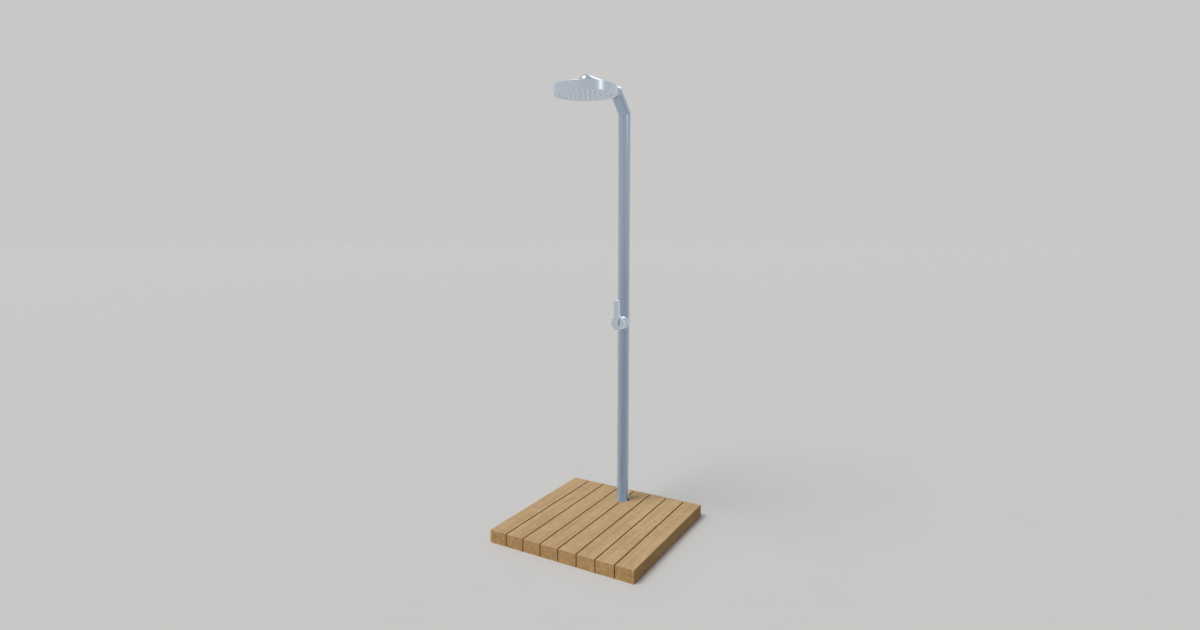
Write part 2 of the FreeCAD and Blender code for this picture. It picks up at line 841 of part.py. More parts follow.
def make_spindle():
    levels = cartridge_levels()
    square_start = cap_rear - seat_position
    square_end = square_start + spindle_square_length
    half_square = spindle_square / 2
    dogs = drive_dogs(0, levels["moving_disc"], levels["carrier"])
    spindle = rod(carrier_radius, levels["carrier"], levels["carrier"] + carrier_height)
    spindle = spindle.fuse(dogs)
    spindle = spindle.fuse(rod(spindle_radius, levels["carrier"], square_start))
    square = box((-half_square, half_square), (-half_square, half_square), (square_start, square_end))
    spindle = spindle.fuse(square.common(rod(spindle_radius, square_start, square_end)))
    for position in spindle_seal_positions:
        groove = ring(spindle_groove_radius, spindle_radius, position, position + spindle_groove_width)
        spindle = spindle.cut(groove)
    return on_seat(one_solid(spindle))


def make_spindle_seals():
    spare = (spindle_groove_width - spindle_seal_width) / 2
    inner = spindle_groove_radius + spindle_seal_gap
    outer = spindle_radius + spindle_clearance - spindle_seal_gap
    seals = [
        ring(inner, outer, position + spare, position + spare + spindle_seal_width)
        for position in spindle_seal_positions
    ]
    return on_seat(Part.makeCompound(seals))


# Handle

def lever_screws(clearance, length):
    radius = lever_screw_diameter / 2 + clearance
    head_top = cap_rear + cap_recess_depth
    shank = rod(radius, head_top, head_top + length + clearance)
    head = rod(lever_screw_head_radius + clearance, head_top - lever_screw_head_height, head_top)
    return [
        moved(shank.fuse(head), side * lever_screw_spread / 2, lever_screw_rise, 0)
        for side in (-1, 1)
    ]


def make_lever_screws():
    return on_valve_axis(Part.makeCompound(lever_screws(0, lever_screw_length)))


def make_handle_cap():
    cap = rod(housing_radius, cap_rear, cap_front)
    front_edge = [edge for edge in cap.Edges if edge.BoundBox.ZMin > cap_front - cap_edge_chamfer]
    cap = cap.makeChamfer(cap_edge_chamfer, front_edge)
    recess = ring(cap_boss_radius, housing_radius - cap_rim_wall, cap_rear, cap_rear + cap_recess_depth)
    half_square = spindle_square / 2 + cap_square_clearance
    spindle_room = box(
        (-half_square, half_square),
        (-half_square, half_square),
        (cap_rear, cap_rear + spindle_square_length + cap_gap),
    )
    cap = cap.cut(recess).cut(spindle_room)
    cap = cap.cut(Part.makeCompound(lever_screws(lever_screw_clearance, lever_screw_length)))
    forward = cap_rear + cap_screw_position
    screw_room = screw_from_below(set_screw_diameter / 2 + set_screw_clearance, 0, cap_boss_radius, forward)
    key_room = screw_from_below(cap_key_hole_radius, cap_boss_radius, housing_radius, forward)
    return on_valve_axis(one_solid(cap.cut(screw_room).cut(key_room)))


def make_cap_screw():
    tip = spindle_square / 2 + cap_square_clearance
    forward = cap_rear + cap_screw_position
    return on_valve_axis(screw_from_below(set_screw_diameter / 2, tip, tip + cap_screw_length, forward))


def make_lever():
    half_width = lever_width / 2
    lower_end = rod(half_width, cap_front, cap_front + lever_thickness)
    blade = box((-half_width, half_width), (0, lever_rise), (cap_front, cap_front + lever_thickness))
    tip_edges = [
        edge for edge in blade.Edges
        if edge.BoundBox.YMin > lever_rise - 1 and edge.BoundBox.ZLength > lever_thickness / 2
    ]
    blade = blade.makeFillet(lever_tip_radius, tip_edges)
    lever = blade.fuse(lower_end).removeSplitter()
    front_edges = [edge for edge in lever.Edges if edge.BoundBox.ZMin > cap_front + lever_thickness / 2]
    lever = lever.makeChamfer(lever_edge_chamfer, front_edges)
    screw_holes = Part.makeCompound(lever_screws(lever_screw_clearance, lever_screw_length))
    return on_valve_axis(one_solid(lever.cut(screw_holes)))


pieces = make_deck()
pieces.update(make_post_pieces())
pieces.update({
    "base_plate": make_base_plate(),
    "inlet_fitting": make_inlet_fitting(),
    "supply_pipe": make_supply_pipe(),
    "pipe_nuts": make_pipe_nuts(),
    "riser_pipe": make_riser_pipe(),
    "arm_seat": make_arm_seat(),
    "arm_elbow": make_arm_elbow(),
    "neck_ring": make_neck_ring(),
    "neck_nipple": make_neck_nipple(),
    "head_shell": make_head_shell(),
    "head_inlet": make_head_inlet(),
    "backing_plate": make_backing_plate(),
    "nozzle_mat": make_nozzle_mat(),
    "face_plate": make_face_plate(),
    "head_screws": on_head_axis(head_screws(0)),
    "valve_housing": make_valve_housing(),
    "valve_body": make_valve_body(),
    "body_circlip": make_body_circlip(),
    "housing_screw": make_housing_screw(),
    "cartridge_body": make_cartridge_body(),
    "flat_washers": make_flat_washers(),
    "fixed_disc": make_fixed_disc(),
    "moving_disc": make_moving_disc(),
    "thrust_washer": make_thrust_washer(),
    "spindle": make_spindle(),
    "spindle_seals": make_spindle_seals(),
    "handle_cap": make_handle_cap(),
    "lever": make_lever(),
    "lever_screws": make_lever_screws(),
    "cap_screw": make_cap_screw(),
})

os.makedirs("parts", exist_ok=True)
for name, shape in pieces.items():
    shape.exportStep(f"parts/{name}.step")
print(len(pieces), "pieces")
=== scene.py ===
import bmesh
import bpy
import json
import math
from mathutils import Matrix, Vector


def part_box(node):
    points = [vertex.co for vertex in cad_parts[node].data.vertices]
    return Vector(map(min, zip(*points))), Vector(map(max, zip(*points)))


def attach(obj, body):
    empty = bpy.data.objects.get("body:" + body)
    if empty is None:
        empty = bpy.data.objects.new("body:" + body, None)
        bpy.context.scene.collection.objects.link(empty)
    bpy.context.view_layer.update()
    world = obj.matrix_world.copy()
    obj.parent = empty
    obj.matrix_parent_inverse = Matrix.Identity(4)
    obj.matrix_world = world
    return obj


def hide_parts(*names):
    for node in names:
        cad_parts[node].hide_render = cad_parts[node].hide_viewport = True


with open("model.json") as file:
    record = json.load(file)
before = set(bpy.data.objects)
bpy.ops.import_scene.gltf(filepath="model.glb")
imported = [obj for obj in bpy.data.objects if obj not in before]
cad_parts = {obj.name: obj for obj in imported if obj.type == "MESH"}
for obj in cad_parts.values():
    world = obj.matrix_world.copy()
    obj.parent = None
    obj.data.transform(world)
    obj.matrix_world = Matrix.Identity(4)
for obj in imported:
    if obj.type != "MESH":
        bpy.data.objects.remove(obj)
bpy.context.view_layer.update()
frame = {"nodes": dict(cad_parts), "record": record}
print("frame loaded")

# Places read from the frame, in metres. The post's axis lies in the plane x = 0.
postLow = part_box("post_tube")[0]
armLow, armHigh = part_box("arm_tube")
headLow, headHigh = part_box("head_shell")
plateLow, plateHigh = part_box("face_plate")
matLow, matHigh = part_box("nozzle_mat")
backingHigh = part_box("backing_plate")[1]
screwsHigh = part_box("head_screws")[1]
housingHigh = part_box("valve_housing")[1]
capLow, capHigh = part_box("handle_cap")
headAxis = (headLow + headHigh) / 2
headRadius = (headHigh.x - headLow.x) / 2
postAxisY = housingHigh.y
valveAxis = Vector((0, postAxisY, (capLow.z + capHigh.z) / 2))


# Node helpers

def addNode(tree, kind, values=None, **settings):
    node = tree.nodes.new("ShaderNode" + kind)
    for name, value in settings.items():
        setattr(node, name, value)
    for name, value in (values or {}).items():
        node.inputs[name].default_value = value
    return node


def newMaterial(name):
    material = bpy.data.materials.new(name)
    material.use_nodes = True
    return material, material.node_tree, material.node_tree.nodes["Principled BSDF"]


def placed(tree, scale, location=(0, 0, 0), rotation=(0, 0, 0)):
    # Object coordinates, stretched for a pattern
    coordinates = addNode(tree, "TexCoord")
    mapping = addNode(tree, "Mapping", {"Location": location, "Rotation": rotation, "Scale": scale})
    tree.links.new(coordinates.outputs["Object"], mapping.inputs["Vector"])
    return mapping.outputs["Vector"]


def noise(tree, vector, detail=3.0, roughness=0.5, distortion=0.0):
    # Its scale is in the vector
    values = {"Scale": 1.0, "Detail": detail, "Roughness": roughness, "Distortion": distortion}
    node = addNode(tree, "TexNoise", values)
    tree.links.new(vector, node.inputs["Vector"])
    return node.outputs["Fac"]


def colours(tree, value, stops):
    ramp = addNode(tree, "ValToRGB")
    elements = ramp.color_ramp.elements
    while len(elements) < len(stops):
        elements.new(0.5)
    for element, (position, colour) in zip(elements, stops):
        element.position = position
        element.color = (*colour, 1)
    tree.links.new(value, ramp.inputs["Fac"])
    return ramp.outputs["Color"]


def spread(tree, value, low, high, start=0.3, end=0.7):
    # The value's middle range, stretched to run from low to high
    node = addNode(tree, "MapRange", {"From Min": start, "From Max": end, "To Min": low, "To Max": high})
    tree.links.new(value, node.inputs["Value"])
    return node.outputs["Result"]


def mixed(tree, amount, first, second, blend="MIX"):
    node = addNode(tree, "Mix", data_type="RGBA", blend_type=blend)
    for value, socket in ((amount, node.inputs[0]), (first, node.inputs[6]), (second, node.inputs[7])):
        if isinstance(value, bpy.types.NodeSocket):
            tree.links.new(value, socket)
        else:
            socket.default_value = (*value, 1) if isinstance(value, tuple) else value
    return node.outputs[2]


def bumped(tree, shader, height, distance, strength=1.0):
    bump = addNode(tree, "Bump", {"Distance": distance, "Strength": strength})
    tree.links.new(height, bump.inputs["Height"])
    tree.links.new(bump.outputs["Normal"], shader.inputs["Normal"])


# Wood

deckLook = {
    "light": (0.515, 0.370, 0.215),
    "dark": (0.430, 0.298, 0.163),
    "end": (1.05, 0.96, 0.81),  # what end grain keeps of the colour
    "side": (0.78, 0.70, 0.55),  # painted shade on a board's long sides, in the gaps too: what their colour keeps
    "ringsPerMetre": 210,
    "pithDepth": (0.075, 0.11, 0.06, 0.13, 0.085, 0.10, 0.07, 0.12),  # below each board's middle
    "pithShift": (0.02, -0.03, 0.035, 0.0, -0.04, 0.03, -0.015, 0.025),
    "pithStep": 0.37,  # along the tree, from one board to the next
    "tone": (1.0, 0.97, 1.02, 0.98, 1.01, 0.99, 1.03, 1.0),
    "roughness": (0.55, 0.78),
    "specular": 0.08,
    "ringStretch": 0.05,  # how fast the rings change along a board, as a share of across it
    "ringNoise": {"Distortion": 4.5, "Detail": 2.0, "Detail Scale": 0.3, "Detail Roughness": 0.5},
    # Patterns: stretch per metre, detail, roughness, distortion
    "fibres": ((1100, 16, 1100), 4, 0.6, 0.0),
    "pores": ((480, 22, 480), 2, 0.7, 0.0),
    "clouds": ((16, 7, 16), 5, 0.6, 0.8),
    "blotches": ((48, 30, 48), 3, 0.6, 0.0),
    "soaked": ((55, 20, 70), 4, 0.65, 0.0),
    "fibreShare": 0.55,  # of fibres in the grain, beside the rings
    "poreShare": 0.45,
    "cloudTint": ((0.3, (0.90, 0.87, 0.82)), (0.7, (1.07, 1.06, 1.05))),
    "blotchTint": ((0.32, (0.92, 0.90, 0.87)), (0.66, (1.05, 1.05, 1.04))),
    "poreTint": ((0.30, (0.76, 0.70, 0.62)), (0.42, (1, 1, 1))),
    "soakedTint": (0.78, 0.68, 0.52),
    "facing": (0.6, 0.9),  # how squarely a face looks along an axis to count as an end, or as a side with painted shade
    "bumpDepth": 0.0005,
    "bumpStrength": 0.5,
}
battenLook = dict(deckLook, light=(0.44, 0.31, 0.19), dark=(0.30, 0.20, 0.115), roughness=(0.75, 0.9))
ringsPerWave = math.pi / 10  # the wave texture's scale for one ring a metre


def wood(name, look, pith, tone):
    material, tree, shader = newMaterial(name)
    # Growth rings round a pith that runs along the board
    stretch = look["ringStretch"]
    ringPlace = placed(tree, (1, stretch, 1), location=(-pith.x, -pith.y * stretch, -pith.z))
    ringNoise = dict(look["ringNoise"], Scale=look["ringsPerMetre"] * ringsPerWave)
    rings = addNode(tree, "TexWave", ringNoise, wave_type="RINGS", rings_direction="Y")
    tree.links.new(ringPlace, rings.inputs["Vector"])
    fibres, pores, clouds, blotches, soaked = (
        noise(tree, placed(tree, look[pattern][0], location=pith), *look[pattern][1:])
        for pattern in ("fibres", "pores", "clouds", "blotches", "soaked")
    )
    grain = mixed(tree, look["fibreShare"], rings.outputs["Color"], fibres)
    colour = colours(tree, grain, [(0.15, look["light"]), (0.85, look["dark"])])
    for pattern, tint, share in (
        (clouds, "cloudTint", 1.0), (blotches, "blotchTint", 1.0), (pores, "poreTint", look["poreShare"]),
    ):
        colour = mixed(tree, share, colour, colours(tree, pattern, look[tint]), "MULTIPLY")
    # End grain drinks more oil, so it is warmer and more mottled; the long sides get painted shade, a
    # darker colour picked by their facing
    normal = addNode(tree, "NewGeometry")
    split = addNode(tree, "SeparateXYZ")
    tree.links.new(normal.outputs["True Normal"], split.inputs["Vector"])
    facings = []
    for axis in ("Y", "X"):
        facing = addNode(tree, "Math", operation="ABSOLUTE")
        tree.links.new(split.outputs[axis], facing.inputs[0])
        facings.append(spread(tree, facing.outputs["Value"], 0, 1, *look["facing"]))
    atEnd, paintedSideShade = facings
    endTint = colours(tree, soaked, [(0.34, look["soakedTint"]), (0.62, look["end"])])
    colour = mixed(tree, atEnd, colour, mixed(tree, 1.0, colour, endTint, "MULTIPLY"))
    # Painted shade: the long sides are darkened by which way they face, not by light
    colour = mixed(tree, paintedSideShade, colour, mixed(tree, 1.0, colour, look["side"], "MULTIPLY"))
    colour = mixed(tree, 1.0, colour, (tone, tone, tone), "MULTIPLY")
    tree.links.new(colour, shader.inputs["Base Color"])
    tree.links.new(spread(tree, fibres, *look["roughness"]), shader.inputs["Roughness"])
    shader.inputs["Specular IOR Level"].default_value = look["specular"]
    bumped(tree, shader, mixed(tree, 0.5, grain, pores), look["bumpDepth"], look["bumpStrength"])
    return material


def boardWood(number):
    low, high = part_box(f"board_{number}")
    middle = (low + high) / 2
    index = number - 1
    pith = Vector((
        middle.x + deckLook["pithShift"][index],
        middle.y + deckLook["pithStep"] * number,
        -deckLook["pithDepth"][index],
    ))
    return wood(f"deckWood{number}", deckLook, pith, deckLook["tone"][index])


# Metals

steelLook = {
    "colour": (0.375, 0.445, 0.53),
    "darker": (0.34, 0.41, 0.495),
    "roughness": (0.24, 0.33),
    "linesPerMetre": 1400,
    "lineStretch": 0.006,  # how fast a line changes along a tube, as a share of across it
    "lineDepth": 0.00002,
    "lineStrength": 0.35,
    "lineShare": 0.35,  # of the lines in the tone, beside the wear
    "clouds": (7, 7, 3),
    "waterRuns": (90, 90, 3),
}
headLook = dict(steelLook, colour=(0.51, 0.57, 0.635), darker=(0.475, 0.535, 0.60), roughness=(0.26, 0.34))
faceLook = dict(headLook, colour=(0.35, 0.45, 0.565), darker=(0.33, 0.43, 0.54))
housingLook = dict(steelLook, colour=(0.43, 0.51, 0.61), darker=(0.40, 0.48, 0.575), roughness=(0.22, 0.30))
handleLook = dict(steelLook, colour=(0.57, 0.635, 0.71), darker=(0.54, 0.605, 0.68), roughness=(0.22, 0.30))


def steel(name, look, lines):
    # lines gives the polishing marks' value on the surface
    material, tree, shader = newMaterial(name)
    marks = lines(tree, look["linesPerMetre"])
    clouds = noise(tree, placed(tree, look["clouds"]), detail=4, roughness=0.6)
    waterRuns = noise(tree, placed(tree, look["waterRuns"]), detail=3, roughness=0.6)
    wear = mixed(tree, 0.5, clouds, waterRuns)
    tone = mixed(tree, look["lineShare"], wear, marks)
    tree.links.new(
        colours(tree, tone, [(0.35, look["darker"]), (0.6, look["colour"])]), shader.inputs["Base Color"]
    )
    tree.links.new(spread(tree, tone, *look["roughness"]), shader.inputs["Roughness"])
    shader.inputs["Metallic"].default_value = 1.0
    bumped(tree, shader, marks, look["lineDepth"], look["lineStrength"])
    return material


def alongTube(turn):
    # Fine lines along a tube that leans by this angle from upright
    def lines(tree, perMetre):
        along = perMetre * steelLook["lineStretch"]
        return noise(tree, placed(tree, (perMetre, perMetre, along), rotation=(turn, 0, 0)), detail=2)
    return lines


def turnedRound(centre, keep):
    # Lathe lines round an axis through the centre. keep is 1 on the two directions across the axis.
    def lines(tree, perMetre):
        shifted = placed(tree, keep, location=[-place * share for place, share in zip(centre, keep)])
        distance = addNode(tree, "VectorMath", operation="LENGTH")
        tree.links.new(shifted, distance.inputs[0])
        along = addNode(tree, "SeparateXYZ")
        tree.links.new(placed(tree, (1, 1, 1)), along.inputs["Vector"])
        other = addNode(tree, "Math", operation="ADD")
        tree.links.new(distance.outputs["Value"], other.inputs[0])
        tree.links.new(along.outputs["Y" if keep[1] == 0 else "Z"], other.inputs[1])
        wave = addNode(tree, "TexNoise", {"Scale": perMetre, "Detail": 2.0}, noise_dimensions="1D")
        tree.links.new(other.outputs["Value"], wave.inputs["W"])
        return wave.outputs["Fac"]
    return lines


def plainMetal(name, colour, darker, roughness, scale):
    material, tree, shader = newMaterial(name)
    clouds = noise(tree, placed(tree, (scale, scale, scale)), detail=4, roughness=0.6)
    tree.links.new(colours(tree, clouds, [(0.35, darker), (0.65, colour)]), shader.inputs["Base Color"])
    tree.links.new(spread(tree, clouds, *roughness), shader.inputs["Roughness"])
    shader.inputs["Metallic"].default_value = 1.0
    bumped(tree, shader, clouds, 0.0001, 0.3)
    return material


def galvanised(name):
    material, tree, shader = newMaterial(name)
    spangle = addNode(tree, "TexVoronoi", {"Scale": 110.0})
    tree.links.new(placed(tree, (1, 1, 1)), spangle.inputs["Vector"])
    tone = addNode(tree, "RGBToBW")
    tree.links.new(spangle.outputs["Color"], tone.inputs["Color"])
    shade = colours(tree, tone.outputs["Val"], [(0.1, (0.46, 0.48, 0.50)), (0.9, (0.63, 0.65, 0.67))])
    tree.links.new(shade, shader.inputs["Base Color"])
    tree.links.new(spread(tree, tone.outputs["Val"], 0.38, 0.62, 0, 1), shader.inputs["Roughness"])
    shader.inputs["Metallic"].default_value = 1.0
    return material


# Plastics, rubber and ceramic

def moulded(name, colour, darker, roughness, grainPerMetre, grainDepth):
    material, tree, shader = newMaterial(name)
    clouds = noise(tree, placed(tree, (25, 25, 25)), detail=3)
    grain = noise(tree, placed(tree, (grainPerMetre,) * 3), detail=2)
    tree.links.new(colours(tree, clouds, [(0.3, darker), (0.7, colour)]), shader.inputs["Base Color"])
    tree.links.new(spread(tree, grain, *roughness), shader.inputs["Roughness"])
    bumped(tree, shader, grain, grainDepth, 0.6)
    return material


kneeTurn = math.radians(45)
headRound = turnedRound(headAxis, (1, 1, 0))
valveRound = turnedRound(valveAxis, (1, 0, 1))
headSteel = steel("headSteel", headLook, headRound)
kneeSteel = steel("kneeSteel", steelLook, alongTube(-kneeTurn))
armSteel = steel("armSteel", steelLook, alongTube(-2 * kneeTurn))
housingSteel = steel("housingSteel", housingLook, valveRound)
finishes = {
    "batten_wood": wood("battenWood", battenLook, Vector((0.02, 0, -0.15)), 1.0),
    "satin_steel": steel("postSteel", steelLook, alongTube(0)),
    "face_steel": steel("faceSteel", faceLook, headRound),
    "handle_steel": steel("handleSteel", handleLook, valveRound),
    "screw_steel": plainMetal("screwSteel", (0.62, 0.63, 0.64), (0.5, 0.51, 0.52), (0.28, 0.42), 160),
    "brass": plainMetal("brass", (0.78, 0.60, 0.30), (0.62, 0.45, 0.20), (0.26, 0.45), 90),
    "galvanised_steel": galvanised("galvanisedSteel"),
}
# Colour, darker colour, roughness, grain per metre, depth of the grain
mouldedLooks = {
    "pipe_plastic": ((0.80, 0.80, 0.77), (0.72, 0.72, 0.69), (0.35, 0.5), 900, 0.00003),
    "dark_plastic": ((0.055, 0.056, 0.06), (0.035, 0.036, 0.04), (0.4, 0.6), 1200, 0.00004),
    "nozzle_rubber": ((0.55, 0.69, 0.83), (0.51, 0.65, 0.79), (0.5, 0.7), 1500, 0.00003),
    "seal_rubber": ((0.03, 0.03, 0.031), (0.02, 0.02, 0.021), (0.5, 0.75), 1500, 0.00003),
    "valve_ceramic": ((0.84, 0.84, 0.81), (0.78, 0.78, 0.75), (0.12, 0.2), 700, 0.00001),
}
for name, look in mouldedLooks.items():
    finishes[name] = moulded(name, *look)
ownFinish = {"neck_ring": headSteel, "arm_seat": armSteel}
for number in range(1, 9):
    ownFinish[f"board_{number}"] = boardWood(number)

slotOfNode = {part["node"]: part["material_slot"] for part in frame["record"]["subparts"]}
for name, node in frame["nodes"].items():
    finish = ownFinish.get(name) or finishes[slotOfNode[name]]
    # Dark parts stay out of the metal's reflections, which show only the room
    node.visible_glossy = slotOfNode[name] not in ("deck_wood", "dark_plastic")
    for slot in node.material_slots:
        slot.material = finish
print("finishes on", len(frame["nodes"]), "nodes")


# Mesh helpers

sameHeight = 0.0001  # heights closer than this count as one
sameRim = 0.00001


def vertsIn(parts):
    return [part for part in parts if isinstance(part, bmesh.types.BMVert)]


def edgesIn(parts):
    return [part for part in parts if isinstance(part, bmesh.types.BMEdge)]


def everything(mesh):
    return mesh.verts[:] + mesh.edges[:] + mesh.faces[:]


def bevelled(mesh, parts, offset, segments=3, affect="EDGES"):
    bmesh.ops.bevel(
        mesh, geom=parts, offset=offset, offset_type="OFFSET", segments=segments,
        profile=0.5, affect=affect, material=-1,
    )


def cleaned(mesh, reach=0.000001):
    bmesh.ops.remove_doubles(mesh, verts=mesh.verts, dist=reach)
    bmesh.ops.recalc_face_normals(mesh, faces=mesh.faces)


def spun(corners, steps):
    # A solid turned about Z from corners of (radius, height, rounding)
    mesh = bmesh.new()
    verts = [mesh.verts.new((radius, 0, height)) for radius, height, rounding in corners]
    for first, second in zip(verts, verts[1:]):
        mesh.edges.new((first, second))
    if corners[0][0] > 0:
        mesh.edges.new((verts[-1], verts[0]))
    for vert, (radius, height, rounding) in zip(verts, corners):
        if rounding:
            bevelled(mesh, [vert], rounding, 5, "VERTICES")
    bmesh.ops.spin(
        mesh, geom=everything(mesh), cent=(0, 0, 0), axis=(0, 0, 1), dvec=(0, 0, 0),
        angle=2 * math.pi, steps=steps, use_merge=True, use_duplicate=False,
    )
    cleaned(mesh)
    return mesh


def rod(radius, start, end, sides=48):
    # A closed round bar from one point to another
    mesh = bmesh.new()
    way = end - start
    turn = way.to_track_quat("Z", "Y").to_matrix().to_4x4()
    bmesh.ops.create_cone(
        mesh, cap_ends=True, segments=sides, radius1=radius, radius2=radius, depth=way.length,
        matrix=Matrix.Translation((start + end) / 2) @ turn,
    )
    return mesh


def block(low, high):
    mesh = bmesh.new()
    size = high - low
    place = Matrix.Translation((low + high) / 2) @ Matrix.Diagonal((*size, 1))
    bmesh.ops.create_cube(mesh, size=1, matrix=place)
    return mesh


def cutBy(mesh, tool):
    # What is left of a closed mesh outside another
    halves = []
    for part in (mesh, tool):
        data = bpy.data.meshes.new("cutting")
        part.to_mesh(data)
        part.free()
        halves.append(bpy.data.objects.new("cutting", data))
        bpy.context.scene.collection.objects.link(halves[-1])
    cut = halves[0].modifiers.new("cut", "BOOLEAN")
    cut.operation = "DIFFERENCE"
    cut.solver = "EXACT"
    cut.object = halves[1]
    graph = bpy.context.evaluated_depsgraph_get()
    result = bpy.data.meshes.new_from_object(halves[0].evaluated_get(graph))
    left = bmesh.new()
    left.from_mesh(result)
    for half in halves:
        bpy.data.objects.remove(half)
    cleaned(left)
    return left


def onValve(mesh):
    # From +Z forwards and +Y up to the valve's own place
    turn = Matrix.Rotation(math.radians(90), 4, "X")
    bmesh.ops.transform(mesh, matrix=Matrix.Translation(valveAxis) @ turn, verts=mesh.verts)
    return mesh


def onHead(mesh):
    bmesh.ops.translate(mesh, vec=(0, headAxis.y, 0), verts=mesh.verts)
    return mesh


def addPiece(mesh, name, finish, body, node, sharpFrom=35):
    cleaned(mesh)
    for face in mesh.faces:
        face.smooth = True
    for edge in mesh.edges:
        edge.smooth = edge.calc_face_angle(0) < math.radians(sharpFrom)
    data = bpy.data.meshes.new(name)
    mesh.to_mesh(data)
    mesh.free()
    data.materials.append(finish)
    piece = bpy.data.objects.new(name, data)
    bpy.context.scene.collection.objects.link(piece)
    even = piece.modifiers.new("evenShading", "WEIGHTED_NORMAL")
    even.keep_sharp = True
    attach(piece, body)
    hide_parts(node)
    print(name, len(data.polygons), "faces")
    return piece


# Post, knee and arm

tubeShape = {
    "radius": 0.03175,
    "bore": 0.02975,
    "bendHeight": 2.136,  # from the ground to the knee's lower corner
    "sides": 128,
    "mitreRounding": 0.0005,
    "domeSteps": 24,
    "poleReach": 0.00001,  # points this close at the dome's pole become one
    "coping": 0.001,  # room between the arm and the head, over it and round its rim
    "copingSides": 256,
    "slotWidth": 0.042,
    "slotHeight": 0.056,
    "slotRounding": 0.012,
    "reachPast": 0.06,  # how far a wall runs on before its mitre is cut
}
armAxisZ = armHigh.z - tubeShape["radius"]
kneeRise = armAxisZ - tubeShape["bendHeight"]
lowCorner = Vector((0, postAxisY, armAxisZ - kneeRise))
highCorner = Vector((0, postAxisY - kneeRise, armAxisZ))
kneeWay = (highCorner - lowCorner).normalized()
upWay = Vector((0, 0, 1))
armWay = Vector((0, -1, 0))
lowMitre = (upWay + kneeWay).normalized()
highMitre = (kneeWay + armWay).normalized()


def endedAt(mesh, corner, away):
    # Cuts a solid at a plane, closes the cut and rounds its rim
    cut = bmesh.ops.bisect_plane(
        mesh, geom=everything(mesh), plane_co=corner, plane_no=away, clear_outer=True
    )
    rim = edgesIn(cut["geom_cut"])
    bmesh.ops.holes_fill(mesh, edges=rim, sides=0)
    bevelled(mesh, rim, tubeShape["mitreRounding"], 2)
    cleaned(mesh)


def tube(start, end, cuts):
    # A straight tube that runs on past both its ends until it is cut there
    past = (end - start).normalized() * tubeShape["reachPast"]
    mesh = rod(tubeShape["radius"], start - past, end + past, tubeShape["sides"])
    for corner, away in cuts:
        endedAt(mesh, corner, away)
    return cutBy(mesh, rod(tubeShape["bore"], start - 2 * past, end + 2 * past, tubeShape["sides"]))


def makePost():
    foot = Vector((0, postAxisY, postLow.z))
    mesh = tube(foot, lowCorner, [(foot, -upWay), (lowCorner, lowMitre)])
    half = Vector((tubeShape["slotWidth"] / 2, 0, tubeShape["slotHeight"] / 2))
    slot = block(valveAxis - half - Vector((0, 2 * tubeShape["radius"], 0)), valveAxis + half)
    across = [
        edge for edge in slot.edges if abs((edge.verts[1].co - edge.verts[0].co).normalized().y) > 0.9
    ]
    bevelled(slot, across, tubeShape["slotRounding"], 10)
    return cutBy(mesh, slot)


def makeKnee():
    return tube(lowCorner, highCorner, [(lowCorner, -lowMitre), (highCorner, highMitre)])


def domedBar(radius, start):
    # A round bar from a point on the arm's axis to its domed end
    domeMiddle = Vector((0, armLow.y + tubeShape["radius"], armAxisZ))
    up = upWay * radius
    mesh = bmesh.new()
    middle, tail, rim = [mesh.verts.new(place) for place in (start, start + up, domeMiddle + up)]
    mesh.edges.new((middle, tail))
    mesh.edges.new((tail, rim))
    bmesh.ops.spin(
        mesh, geom=[rim], cent=domeMiddle, axis=(1, 0, 0), dvec=(0, 0, 0),
        angle=math.radians(90), steps=tubeShape["domeSteps"], use_merge=False, use_duplicate=False,
    )
    bmesh.ops.spin(
        mesh, geom=everything(mesh), cent=domeMiddle, axis=(0, 1, 0), dvec=(0, 0, 0),
        angle=2 * math.pi, steps=tubeShape["sides"], use_merge=True, use_duplicate=False,
    )
    cleaned(mesh, tubeShape["poleReach"])
    return mesh


def makeArm():
    past = Vector((0, tubeShape["reachPast"], 0))
    mesh = domedBar(tubeShape["radius"], highCorner + past)
    endedAt(mesh, highCorner, -highMitre)
    mesh = cutBy(mesh, domedBar(tubeShape["bore"], highCorner + 2 * past))
    coping = tubeShape["coping"]
    low = Vector((0, headAxis.y, headLow.z))
    high = Vector((0, headAxis.y, headHigh.z + coping))
    return cutBy(mesh, rod(headRadius + coping, low, high, tubeShape["copingSides"]))


addPiece(makePost(), "postTube", finishes["satin_steel"], "root", "post_tube")
addPiece(makeKnee(), "kneeTube", kneeSteel, "root", "knee_tube")
addPiece(makeArm(), "armTube", armSteel, "root", "arm_tube")


# Shower head

headShape = {
    "sides": 192,
    "wall": 0.0015,
    "topRounding": 0.001,
    "rimRounding": 0.0006,
    "neckHole": 0.0106,
    "plateRounding": 0.0005,
    "pillar": 0.004,
    "pillarSides": 24,
    "pillarBoreSides": 16,
    "screwCircle": 0.137,
    "screwCount": 6,
    "screwHead": 0.003,
    "screwShank": 0.0015,
    "screwPlay": 0.0001,
    "screwSides": 24,
    "socketAcross": 0.0025,
    "socketDepth": 0.0011,
}
nozzleShape = {
    "rings": 5,
    "inFirstRing": 6,
    "pitch": 0.024,
    "sides": 12,
    "base": 0.0032,
    "waist": 0.003,  # where a nozzle comes out of the face plate
    "tip": 0.002,
    "tipRounding": 0.0004,
    "jet": 0.0006,
    "jetDepth": 0.0012,
    "holeRadius": 0.0035,
    "holeSides": 16,
}


def circlePlaces(count, radius):
    turns = [2 * math.pi * number / count for number in range(count)]
    return [Vector((radius * math.cos(turn), radius * math.sin(turn), 0)) for turn in turns]


nozzlePlaces = [Vector((0, 0, 0))]
for ringNumber in range(1, nozzleShape["rings"] + 1):
    nozzlePlaces += circlePlaces(nozzleShape["inFirstRing"] * ringNumber, nozzleShape["pitch"] * ringNumber)
screwPlaces = circlePlaces(headShape["screwCount"], headShape["screwCircle"])


def repeat(mesh, shape, places):
    # Adds a copy of a finished shape at each place
    for place in places:
        shape.transform(Matrix.Translation(place))
        mesh.from_mesh(shape)
        shape.transform(Matrix.Translation(-place))


